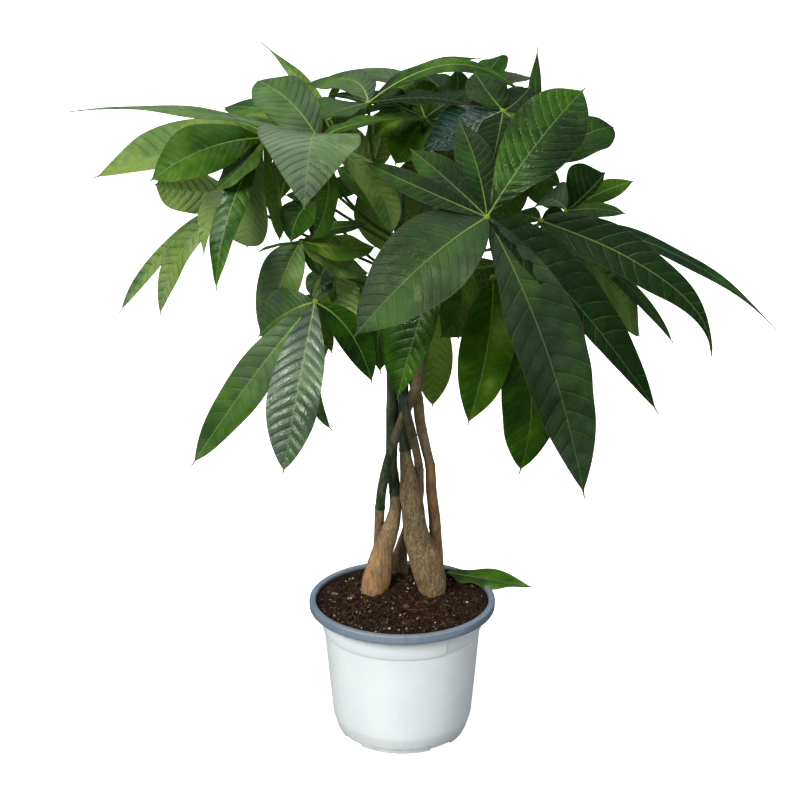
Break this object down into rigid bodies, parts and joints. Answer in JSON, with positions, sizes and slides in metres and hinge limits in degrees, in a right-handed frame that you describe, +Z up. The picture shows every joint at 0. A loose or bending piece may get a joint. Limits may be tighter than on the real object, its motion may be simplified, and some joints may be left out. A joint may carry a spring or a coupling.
{
  "type": "potted money tree",
  "caption": "Bushy houseplant with a plaited woody trunk and a broad crown of palmate leaves, growing in soil in a round tapered nursery pot.",
  "frame": {"origin": "centre of the underside of the pot's floor, where it stands", "axes": "+Z up along the pot's axis; the front of the plant faces -Y, and +X is to the right seen from the front"},
  "size_m": [0.581, 0.4534, 0.6192],
  "materials": {
    "pot": "pale cool grey-white moulded plastic with a slate-grey rim, satin, lightly soiled",
    "soil": "damp dark brown crumbly potting soil with fibres and pale specks",
    "bark": "matt mottled brown bark below, green and slightly waxy above",
    "leaf": "dark green waxy leaf with paler yellow-green midrib"
  },
  "bodies": {
    "root": {"pot": "pot", "soil": "soil", "stem_left_back": "bark", "stem_left_front": "bark", "stem_middle": "bark", "stem_right_back": "bark", "stem_right_front": "bark", "leaf_back_high_left": "leaf", "leaf_back_low_left": "leaf", "leaf_back_low_middle": "leaf", "leaf_back_low_right": "leaf", "leaf_back_middle": "leaf", "leaf_back_middle_left": "leaf", "leaf_back_right": "leaf", "leaf_back_side_left": "leaf", "leaf_back_side_right": "leaf", "leaf_behind_stems": "leaf", "leaf_centre": "leaf", "leaf_centre_inner": "leaf", "leaf_crown_back": "leaf", "leaf_crown_back_left": "leaf", "leaf_crown_inner": "leaf", "leaf_crown_left": "leaf", "leaf_crown_right": "leaf", "leaf_far_left": "leaf", "leaf_far_right": "leaf", "leaf_front_right": "leaf", "leaf_high_right": "leaf", "leaf_left_inner": "leaf", "leaf_left_shade": "leaf", "leaf_low_far_left": "leaf", "leaf_low_left": "leaf", "leaf_low_right": "leaf", "leaf_right_tuft": "leaf", "leaf_under_left": "leaf", "leaf_upper_left": "leaf", "fallen_leaflet": "leaf"}
  },
  "joints": []
}
